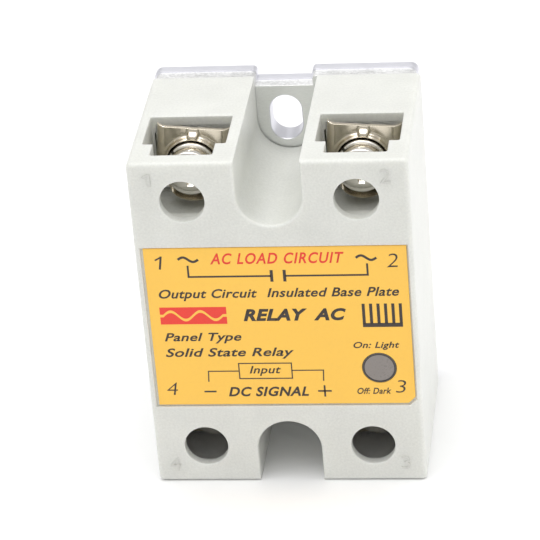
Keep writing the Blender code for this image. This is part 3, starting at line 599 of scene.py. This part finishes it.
def cut_terminal_room(shell, number):
    """The wire entry, the room in front of the screw head and the driver hole of one terminal."""
    x, z = terminal_centre(number)
    upper = TERMINALS[number][1]
    cut(shell, entry_tool(f"entry_{number}", number, POCKET_HALF, POCKET_STEP_DEPTH, POCKET_BACK_DEPTH,
                          POCKET_LENGTH))
    cut(shell, entry_tool(f"neck_{number}", number, POCKET_NECK_HALF, POCKET_NECK_DEPTH,
                          POCKET_STEP_DEPTH + 1.5 * OVERLAP, NECK_LENGTH))
    near, far = (HEIGHT - NECK_LENGTH, HEIGHT - LIP_LENGTH) if upper else (LIP_LENGTH, NECK_LENGTH)
    room = rounded_rectangle(x - POCKET_NECK_HALF, near, x + POCKET_NECK_HALF, far, 0.4 * mm)
    cut(shell, loft(f"head_room_{number}", [front_ring(room, d) for d in (DRIVER_WALL, POCKET_STEP_DEPTH)]))
    rings = [front_ring(circle(x, z, DRIVER_HOLE_R + growth), depth)
             for depth, growth in rim_levels(FACE_DEPTH, RIM_R, DRIVER_WALL + OVERLAP)]
    cut(shell, loft(f"driver_hole_{number}", rings))
    near, far = STRIP_ROOM_ENDS
    if upper:
        near, far = HEIGHT - far, HEIGHT - near
    room = rounded_rectangle(x - STRIP_ROOM_HALF, near, x + STRIP_ROOM_HALF, far, 0.3 * mm)
    rear = POCKET_BACK_DEPTH + 2.5 * mm
    front = POCKET_BACK_DEPTH - OVERLAP
    cut(shell, loft(f"strip_room_{number}", [front_ring(room, d) for d in (front, rear)]))
    over = POCKET_STEP_DEPTH + OVERLAP
    start = DRIVER_WALL + 0.2 * mm
    side = [(start + (POCKET_STEP_DEPTH - start) * u, POCKET_LENGTH + (POCKET_LENGTH - NECK_LENGTH) * v)
            for u, v in arc(0.0, 0.0, 1.0, 0.0, -90.0, 16)]
    side += [(start, NECK_LENGTH - 0.3 * mm), (over, NECK_LENGTH - 0.3 * mm), (over, POCKET_LENGTH)]
    ends = [(depth, HEIGHT - v if upper else v) for depth, v in side]
    rings = [[(x + reach, at_depth(depth), height) for depth, height in ends]
             for reach in (-POCKET_NECK_HALF, POCKET_NECK_HALF)]
    cut(shell, loft(f"floor_round_{number}", rings))


def housing():
    """The moulded shell, hollowed from the back, with its pockets, holes and recesses."""
    low = (CAD_LOW.x, at_depth(FACE_DEPTH), CAD_LOW.z)
    high = (CAD_HIGH.x, HOUSING_HIGH.y, CAD_HIGH.z)
    shell = rounded_block("housing_shell", low, high, CORNER_R, HOUSING_PLASTIC)
    front = POCKET_BACK_DEPTH + 1.5 * mm
    cut(shell, loft("cavity", [front_ring(cavity_outline(), d) for d in (front, BACK_DEPTH)]))
    inner = WIDTH / 2 - SIDE_WALL
    room = rounded_rectangle(-inner, WAIST_END, inner, HEIGHT - WAIST_END, 0.5 * mm)
    cut(shell, loft("board_room", [front_ring(room, d) for d in (FRONT_WALL, POCKET_BACK_DEPTH + 2 * mm)]))
    for number in TERMINALS:
        cut_terminal_room(shell, number)
    for end, upper in (("upper", True), ("lower", False)):
        cut(shell, channel_tool(f"{end}_recess", upper))
    levels = rim_levels(FACE_DEPTH, 0.15 * mm, LABEL_POCKET_DEPTH)
    cut(shell, loft("label_pocket", [front_ring(label_pocket_outline(g), d) for d, g in levels]))
    round_hole = circle(STATUS.x, STATUS.z, STATUS_HOLE_R)
    cut(shell, loft("status_hole", [front_ring(round_hole, d) for d in (-OVERLAP, FRONT_WALL + OVERLAP)]))
    settle(shell)
    smooth_shade(shell)
    place_piece(shell, "root", "housing", "housing")
    place_piece(numerals(), "root", "housing")


# ---------------------------------------------------------------- base plate
def plate_outline(inset, nick):
    """(x, z) outline of the plate: round corners, and a notch with round shoulders at each end."""
    half = (PLATE_HIGH.x - PLATE_LOW.x) / 2 - inset
    corner = 1.3 * mm
    notch = PLATE_NOTCH_HALF - 0.35 * mm + inset
    floor = PLATE_NOTCH_DEPTH
    lower = [*arc(-half + corner, inset + corner, corner, 180.0, 270.0, 8),
             *arc(-notch - nick, inset + nick, nick, -90.0, 0.0, 6),
             (-notch, floor + inset), (notch - NOTCH_TRIM, floor + inset),
             *arc(notch - NOTCH_TRIM + nick, inset + nick, nick, 180.0, 270.0, 6),
             *arc(half - corner, inset + corner, corner, 270.0, 360.0, 8)]
    return shifted(lower + list(reversed(flipped(lower))))


def shifted(outline):
    """An outline of the plate, at the plate's own place across the housing."""
    return [(u + PLATE_SHIFT, v) for u, v in outline]


def slot_outline(growth, upper):
    """(x, z) outline of a mounting screw slot."""
    r = SLOT_WIDTH / 2
    outline = (arc(SLOT_SHIFT, SLOT_INNER - r, r + growth, 0.0, 180.0, 20)
               + arc(SLOT_SHIFT, SLOT_OUTER + r, r + growth, 180.0, 360.0, 20))
    return shifted(flipped(outline) if upper else outline)


def base_plate():
    """The blanked aluminium plate: a torn front band and a smooth, rounded rear band on its edges."""
    nick = 0.7 * mm
    step = 0.22 * mm
    roll = 0.45 * mm
    levels = [(PLATE_DEPTH, step + 0.08 * mm, 0), (PLATE_DEPTH + 0.08 * mm, step, 0), (SHEAR_DEPTH, step, 1),
              (SHEAR_DEPTH + 0.12 * mm, 0.03 * mm, 1), (SHEAR_DEPTH + 0.25 * mm, 0.0, 1)]
    levels += [(BACK_DEPTH - roll + roll * sin(radians(a)), roll * (1 - cos(radians(a))), 1)
               for a in (0, 18, 36, 54, 72, 90)]
    rings = [front_ring(plate_outline(inset, nick), depth) for depth, inset, _ in levels]
    plate = loft("base_plate_blank", rings, PLATE_FACE, PLATE_SHEAR, PLATE_EDGE,
                 material_of=lambda level: 1 if level < 2 else 2)
    for upper in (True, False):
        small = 0.12 * mm
        slot_levels = [(PLATE_DEPTH - OVERLAP, 2 * small), (PLATE_DEPTH, small), (PLATE_DEPTH + small, 0.0),
                       (BACK_DEPTH - 2 * small, 0.0), (BACK_DEPTH, small), (BACK_DEPTH + OVERLAP, 3 * small)]
        rings = [front_ring(slot_outline(growth, upper), depth) for depth, growth in slot_levels]
        cut(plate, loft(f"slot_{upper}", rings, PLATE_EDGE))
    settle(plate)
    smooth_shade(plate, 30.0)
    return place_piece(plate, "root", "plate", "base_plate")


# ---------------------------------------------------------------- label, print and status lens
def label_outline(inset=0.0):
    """(x, z) outline of the label film, with the lower right corner cut off."""
    left, right = LABEL_LOW.x + inset, LABEL_HIGH.x - inset
    low, high = LABEL_LOW.z + inset, LABEL_HIGH.z - inset
    corner = [(right - LABEL_CORNER, low), (right, low + LABEL_CORNER)]
    return [(left, low), *corner, (right, high), (left, high)]


def label():
    """The film in its pocket, with a die-cut hole for the lens."""
    levels = [(LABEL_DEPTH, 0.04 * mm), (LABEL_DEPTH + 0.04 * mm, 0.0), (LABEL_POCKET_DEPTH - 0.02 * mm, 0.0)]
    film = loft("label_film", [front_ring(label_outline(i), d) for d, i in levels], LABEL_FILM)
    round_hole = circle(STATUS.x, STATUS.z, STATUS_HOLE_R - 0.05 * mm)
    cut(film, loft("lens_hole", [front_ring(round_hole, d) for d in (-OVERLAP, 2 * OVERLAP)]))
    settle(film)
    smooth_shade(film)
    return place_piece(film, "root", "label", "front_label")


def words(edit, body, low_x, high_x, low_z, high_z, bold=0.0, slant=0.0, spacing=1.0):
    """Adds a text, fitted to a rectangle given in millimetres."""
    printed(edit, text_mesh(body, bold, slant, spacing), low_x * mm, high_x * mm, low_z * mm, high_z * mm,
            LABEL_DEPTH + 0.002 * mm, PRINT_RISE)


def wave_points(low_x, high_x, middle_z, height, periods=1.0, count=24):
    """Points along a sine wave."""
    return [(low_x + (high_x - low_x) * n / count,
             middle_z + height * sin(2 * pi * periods * n / count)) for n in range(count + 1)]


SLANT = 0.28
LINE = 0.32
THIN = 0.2
SIGN = 0.3
LABEL_FIGURES = (("2", 18.1, 19.9, 40.6, 43.1), ("3", 18.25, 20.0, 17.0, 19.4),
                 ("4", -19.6, -17.8, 16.9, 19.3))
CONTACT_SYMBOL = (
    ([(-14.1, 41.35), (-14.1, 39.25), (-0.7, 39.25)], LINE),
    ([(1.6, 39.25), (14.95, 39.25), (14.95, 41.35)], LINE),
    ([(-0.6, 38.2), (-0.6, 40.35)], 0.5),
    ([(1.5, 38.2), (1.5, 40.35)], 0.5),
)
LABEL_WORDS = (                      # text, its rectangle, boldness and spacing
    ("Output Circuit", -19.3, -3.2, 34.75, 36.95, 0.02, 1.05),
    ("Insulated Base Plate", -1.6, 19.8, 35.3, 37.0, 0.02, 1.05),
    ("RELAY  AC", -5.8, 11.0, 30.85, 33.15, 0.045, 1.1),
    ("Panel Type", -19.1, -6.4, 26.7, 28.75, 0.02, 1.05),
    ("Solid State Relay", -19.2, 2.0, 23.7, 25.85, 0.02, 1.05),
    ("On: Light", 11.8, 19.3, 25.2, 26.75, 0.02, 1.05),
    ("Off: Dark", 11.9, 17.5, 16.8, 18.0, 0.02, 1.05),
    ("Input", -5.6, -0.4, 20.45, 22.35, 0.015, 1.05),
    ("DC SIGNAL", -9.4, 3.9, 16.5, 18.35, 0.03, 1.1),
)
INPUT_SYMBOL = (                     # the box round "Input", its two leads, and the minus and plus signs
    ([(-7.3, 19.95), (1.4, 19.95), (1.4, 22.85), (-7.3, 22.85), (-7.3, 19.85)], THIN),
    ([(-12.5, 19.4), (-12.4, 21.4), (-7.3, 21.4)], THIN),
    ([(1.4, 21.45), (6.6, 21.45), (6.5, 19.4)], THIN),
    ([(-13.4, 17.5), (-11.4, 17.5)], SIGN),
    ([(5.45, 17.45), (7.7, 17.45)], SIGN),
    ([(6.57, 16.35), (6.57, 18.55)], SIGN),
)


def black_print():
    """Terminal numbers, contact and input symbols, plain words and the heat sink sign."""
    edit = bmesh.new()
    digit_one(edit, -19.35, -18.15, 40.7, 43.1, 0.34, 0.35)
    for body, low_x, high_x, low_z, high_z in LABEL_FIGURES:
        words(edit, body, low_x, high_x, low_z, high_z, -0.012, 0.15)
    stroke(edit, wave_points(-15.6, -12.3, 42.45, 0.42), 0.42)
    stroke(edit, wave_points(13.2, 16.5, 42.4, 0.42), 0.42)
    for points, width in CONTACT_SYMBOL:
        stroke(edit, points, width)
    for body, low_x, high_x, low_z, high_z, bold, spacing in LABEL_WORDS:
        words(edit, body, low_x, high_x, low_z, high_z, bold, SLANT, spacing)
    for points, width in INPUT_SYMBOL:
        stroke(edit, points, width)
    stroke(edit, [(13.6, 29.9), (20.1, 29.9)], 0.75)
    for fin in range(6):
        x = 13.85 + fin * 1.2
        stroke(edit, [(x, 30.2), (x, 33.9)], 0.5)
    return mesh_object("label_print_black", edit, INK_BLACK)


def red_print():
    """The red words over the contact symbol, and a red bar with a wave through it."""
    edit = bmesh.new()
    words(edit, "AC LOAD CIRCUIT", -10.4, 11.3, 41.5, 43.55, 0.02, SLANT, 1.15)
    lower = wave_points(-18.9, -9.1, 31.75, 0.8, 2.0, 48)
    upper = wave_points(-18.9, -9.1, 32.25, 0.8, 2.0, 48)
    bottom = [(-19.45, 30.4), (-8.5, 30.4), (-8.5, 31.75), *reversed(lower), (-19.45, 31.75)]
    top = [(-19.45, 33.6), (-19.45, 32.25), *upper, (-8.5, 32.25), (-8.5, 33.6)]
    for outline in (bottom, top):
        solid_print(edit, [(x * mm, z * mm) for x, z in outline])
    return mesh_object("label_print_red", edit, INK_RED)


TIP_R = 0.00001                      # radius that stands for a point on the axis


def turned(name, profile, *finishes, sides=64, centre=(0.0, 0.0), front=0.0):
    """A piece turned about an axis along Y: its (radius, depth) profile, closed at both ends."""
    x, z = centre
    rings = [front_ring(circle(x, z, max(radius, TIP_R), sides), front + depth) for radius, depth in profile]
    return loft(name, rings, *finishes)


def status_lens():
    """The smoked lens with its dark moulded ring, and the flange behind the front wall."""
    r = STATUS_HOLE_R - 0.12 * mm
    top = 0.22 * mm
    flange = LENS_HIGH.y - FRONT_Y
    crown = [(0.0, top), (0.7 * mm, top + 0.004 * mm), (1.4 * mm, top + 0.02 * mm),
             (2.0 * mm, top + 0.05 * mm), (r - 0.35 * mm, top + 0.1 * mm)]
    groove = [(r - 0.3 * mm, top + 0.2 * mm), (r - 0.2 * mm, top + 0.2 * mm),
              (r - 0.16 * mm, top + 0.06 * mm), (r - 0.05 * mm, top + 0.06 * mm), (r, top + 0.12 * mm)]
    rear = [(r, FRONT_WALL + 0.3 * mm), (3.6 * mm, FRONT_WALL + 0.3 * mm), (3.6 * mm, flange), (0.0, flange)]
    profile = crown + groove + rear
    rings = [front_ring(circle(STATUS.x, STATUS.z, max(radius, TIP_R)), depth) for radius, depth in profile]
    lens = loft("status_lens_disc", rings, SMOKED_LENS, LENS_RING,
                material_of=lambda level: 1 if level >= len(crown) - 1 else 0)
    smooth_shade(lens, 50.0, weighted=False)
    return place_piece(lens, "root", "lens", "status_lens")


# ---------------------------------------------------------------- terminals
def cross_tool(name, x, z):
    """The tapered cross of a driver recess, from in front of the head to its tip."""
    levels = ((-1.0, 2.35, 0.62), (0.0, 2.1, 0.52), (0.9, 1.5, 0.42), (1.7, 0.95, 0.32), (2.05, 0.35, 0.2))
    rings = []
    for depth, reach, half in levels:
        web = half * 1.35
        quarter = [(reach, -half), (reach, half), (web, web)]
        ring = []
        for turn in range(4):
            c, s = cos(turn * pi / 2), sin(turn * pi / 2)
            ring += [(x + (u * c - v * s) * mm, z + (u * s + v * c) * mm) for u, v in quarter]
        rings.append(front_ring(ring, HEAD_FRONT_DEPTH + depth * mm))
    return loft(name, rings)


def thread(name, x, z, near, far, *finishes):
    """A right-hand threaded shank from one depth to another, with a chamfered tip."""
    sides = 24
    rows_per_turn = 8
    count = int((far - near) / SCREW_PITCH * rows_per_turn)
    rings = []
    for row in range(count + 1):
        depth = near + (far - near) * row / count
        ring = []
        for n in range(sides):
            angle = 2 * pi * n / sides
            phase = (depth / SCREW_PITCH + n / sides) % 1.0
            crest = 1.0 - abs(2.0 * phase - 1.0)
            taper = max(0.0, (depth - (far - 0.7 * mm))) * 0.8
            radius = SHANK_R - 0.38 * mm + 0.38 * mm * min(1.0, crest * 1.25) - taper
            ring.append((x + radius * cos(angle), at_depth(depth), z + radius * sin(angle)))
        rings.append(ring)
    return loft(name, rings, *finishes)


def terminal_screw(number):
    """A pan head screw: domed head with a cross recess, a neck and a threaded shank."""
    x, z = terminal_centre(number)
    crown = 0.95 * mm
    dome = [(HEAD_R * sin(radians(a)), crown * (1 - cos(radians(a)))) for a in range(4, 91, 6)]
    under = HEAD_THICKNESS
    profile = [(0.0, 0.0), *dome, (HEAD_R, under - 0.6 * mm), (HEAD_R - 0.08 * mm, under - 0.3 * mm),
               (HEAD_R - 0.3 * mm, under - 0.08 * mm), (HEAD_R - 0.6 * mm, under),
               (SHANK_R - 0.2 * mm, under), (SHANK_R - 0.2 * mm, under + 0.6 * mm)]
    head = turned(f"screw_head_{number}", profile, SCREW_STEEL, sides=72, centre=(x, z),
                  front=HEAD_FRONT_DEPTH)
    cut(head, cross_tool(f"cross_{number}", x, z))
    settle(head)
    start = HEAD_FRONT_DEPTH + under + 0.5 * mm
    shank = thread(f"shank_{number}", x, z, start, HEAD_FRONT_DEPTH + under + SHANK_LENGTH, SCREW_STEEL)
    join = bmesh.new()
    join.from_mesh(head.data)
    join.from_mesh(shank.data)
    bpy.data.objects.remove(head, do_unlink=True)
    bpy.data.objects.remove(shank, do_unlink=True)
    screw = mesh_object(f"pan_head_screw_{number}", join, SCREW_STEEL)
    smooth_shade(screw, 38.0, weighted=False)
    return place_piece(screw, f"screw_{number}", "screw_steel", f"terminal_screw_{number}")


def lock_washer(number):
    """A split spring washer: a rectangular wire with soft corners, wound a little open."""
    x, z = terminal_centre(number)
    near = HEAD_FRONT_DEPTH + HEAD_THICKNESS + 0.3 * mm
    section = rounded_rectangle(SHANK_R + 0.35 * mm, 0.0, WASHER_R, WASHER_THICKNESS, WASHER_SOFT, 3)
    rings = []
    count = 72
    for n in range(count + 1):
        angle = radians(WASHER_START + WASHER_SPLIT + (360.0 - 2 * WASHER_SPLIT) * n / count)
        rings.append([(x + r * cos(angle), at_depth(near + d), z + r * sin(angle)) for r, d in section])
    washer = loft(f"split_washer_{number}", rings, WASHER_STEEL)
    smooth_shade(washer, 40.0, weighted=False)
    return place_piece(washer, f"screw_{number}", "screw_steel", f"lock_washer_{number}")


def step_to(value, edge, softness):
    """A soft step: 0 below the edge, 1 above it."""
    return 1.0 / (1.0 + exp(max(-60.0, min(60.0, (edge - value) / softness))))


def clamp_low(u):
    """The curved lower edge of the clamp at a distance u across from the screw."""
    return min(u * u / (8.6 * mm), 2.6 * mm) - CLAMP_HALF


def clamp_rise(u, v):
    """How far forward the pressed clamp stands at (u, v) from the screw, v towards the wire entry."""
    r = hypot(u, v)
    side = abs(u)
    collar = COLLAR_RISE * exp(-(((r - COLLAR_R) / COLLAR_WIDTH) ** 2))
    bulge = 0.1 + 0.9 * step_to(-v, -TAB_END, 0.2 * mm)
    tab = TAB_RISE * bulge * step_to(v, TAB_START, 0.1 * mm) * step_to(-side, -TAB_HALF, 0.06 * mm)
    bent = max(0.0, LOBE_LENGTH - (v - clamp_low(u))) / LOBE_LENGTH
    lobe = LOBE_RISE * bent ** 1.5 * step_to(-side, -LOBE_HALF, 0.3 * mm) if v < 0 else 0.0
    edge = max(0.0, side - (CLAMP_HALF - WING_WIDTH)) / WING_WIDTH
    wing = WING_RISE * edge ** 2.4
    return max(collar, tab, lobe) - wing


def wire_clamp(number):
    """The pressed clamp: a square sheet with bent wings, a raised collar and a tab over the washer."""
    x, z = terminal_centre(number)
    direction = 1.0 if TERMINALS[number][1] else -1.0
    lean = radians(CLAMP_LEAN[number])
    count = CLAMP_GRID
    edit = bmesh.new()
    sheets = []
    for back in (0.0, CLAMP_SHEET):
        grid = {}
        for i in range(count + 1):
            for j in range(count + 1):
                u = -CLAMP_HALF + 2 * CLAMP_HALF * i / count
                v = -CLAMP_HALF + 2 * CLAMP_HALF * j / count
                if v < 0:
                    v *= -clamp_low(u) / CLAMP_HALF
                if hypot(u, v) < CLAMP_HOLE_R:
                    continue
                depth = CLAMP_DEPTH - clamp_rise(u, v) + back
                side, up = u * cos(lean) + v * sin(lean), v * cos(lean) - u * sin(lean)
                grid[i, j] = edit.verts.new((x + side, at_depth(depth), z + direction * up))
        sheets.append(grid)
    open_edges = {}
    for side, grid in enumerate(sheets):
        for i in range(count):
            for j in range(count):
                corners = [(i, j), (i + 1, j), (i + 1, j + 1), (i, j + 1)]
                if all(c in grid for c in corners):
                    edit.faces.new([grid[c] for c in corners])
                    if side == 0:
                        for a, b in zip(corners, corners[1:] + corners[:1]):
                            key = tuple(sorted((a, b)))
                            open_edges[key] = open_edges.get(key, 0) + 1
    for (a, b), uses in open_edges.items():
        if uses == 1:
            edit.faces.new((sheets[0][a], sheets[0][b], sheets[1][b], sheets[1][a]))
    loose = [v for v in edit.verts if not v.link_faces]
    bmesh.ops.delete(edit, geom=loose, context="VERTS")
    clamp = mesh_object(f"pressed_clamp_{number}", edit, NICKEL)
    rounding = clamp.modifiers.new("rounding", "BEVEL")
    rounding.width = 0.14 * mm
    rounding.segments = 3
    rounding.limit_method = "ANGLE"
    rounding.angle_limit = radians(55.0)
    rounding.use_clamp_overlap = True
    settle(clamp)
    smooth_shade(clamp, 60.0, weighted=False)
    return place_piece(clamp, f"clamp_{number}", "nickel", f"wire_clamp_{number}")


# ---------------------------------------------------------------- nodes carried over
def carried_over():
    """Gives each node that still shows its own finish."""
    slots = {part["node"]: part["material_slot"] for part in frame["record"]["subparts"]}
    for name, node in frame["nodes"].items():
        if node.hide_render:
            continue
        node.data.materials.clear()
        node.data.materials.append(TINNED if name.startswith("load_busbar") else CARRIED[slots[name]])


# ---------------------------------------------------------------- floor, light and camera
LAMPS = (("overhead", (-0.1, -0.12, 1.3), 1.3, 12.5), ("side", (1.2, 0.1, 0.5), 1.0, 4.0),
         ("behind", (-0.16, 0.96, 0.76), 0.06, 0.12))        # name, place, size in metres, watts
LAMP_TARGET = Vector((0.0, 0.0, 0.03))
FLOOR_HALF = 3.0
FLOOR_Z = -0.00002                   # just under the relay, which stands at zero
SKY_STRENGTH = 0.66

CAMERA_AZIMUTH = 8.6265              # degrees, as are the next two
CAMERA_ELEVATION = 29.236
CAMERA_ROLL = -4.968
CAMERA_TARGET = Vector((-0.72 * mm, FRONT_Y, 40.54 * mm))
CAMERA_DISTANCE = 0.49623
CAMERA_LENS = 206.07                 # millimetres, on a sensor SENSOR_WIDTH wide
SENSOR_WIDTH = 36.0


def stage():
    """A pale floor, a bright soft sky, a large soft light overhead, one at the right and one behind."""
    edit = bmesh.new()
    corners = ((-1, -1), (1, -1), (1, 1), (-1, 1))
    edit.faces.new([edit.verts.new((sx * FLOOR_HALF, sy * FLOOR_HALF, FLOOR_Z)) for sx, sy in corners])
    paper = surface("floor_white", (0.94, 0.94, 0.94), 0.8, shade=0.004, mottle=300.0)
    floor = mesh_object("floor", edit, paper)
    world = bpy.data.worlds.new("studio")
    bpy.context.scene.world = world
    world.use_nodes = True
    world.node_tree.nodes["Background"].inputs["Color"].default_value = (1.0, 1.0, 1.0, 1.0)
    world.node_tree.nodes["Background"].inputs["Strength"].default_value = SKY_STRENGTH
    for name, place, size, power in LAMPS:
        lamp = bpy.data.lights.new(name, "AREA")
        lamp.shape = "SQUARE"
        lamp.size = size
        lamp.energy = power
        held = bpy.data.objects.new(name, lamp)
        bpy.context.scene.collection.objects.link(held)
        held.location = place
        aim = LAMP_TARGET - Vector(place)
        held.rotation_euler = aim.to_track_quat("-Z", "Y").to_euler()
    bpy.context.scene.view_settings.view_transform = "Standard"
    bpy.context.scene.view_settings.look = "None"


def camera():
    """A long lens above and to the right of the label's axis, held slightly rolled."""
    azimuth, elevation, roll = radians(CAMERA_AZIMUTH), radians(CAMERA_ELEVATION), radians(CAMERA_ROLL)
    back = Vector((sin(azimuth) * cos(elevation), -cos(azimuth) * cos(elevation), sin(elevation)))
    level = Vector((cos(azimuth), sin(azimuth), 0.0))
    upright = back.cross(level)
    right = level * cos(roll) + upright * sin(roll)
    up = upright * cos(roll) - level * sin(roll)
    data = bpy.data.cameras.new("camera")
    data.sensor_width = SENSOR_WIDTH
    data.lens = CAMERA_LENS
    data.clip_start = 0.01
    data.clip_end = 20.0
    held = bpy.data.objects.new("camera", data)
    bpy.context.scene.collection.objects.link(held)
    turn = Matrix((right, up, back)).transposed().to_4x4()
    held.matrix_world = Matrix.Translation(CAMERA_TARGET + back * CAMERA_DISTANCE) @ turn
    bpy.context.scene.camera = held


# ---------------------------------------------------------------- assembly
camera()
housing()
base_plate()
label()
place_piece(black_print(), "root", "label")
place_piece(red_print(), "root", "label")
status_lens()
for terminal in TERMINALS:
    terminal_screw(terminal)
    lock_washer(terminal)
    wire_clamp(terminal)
carried_over()
stage()
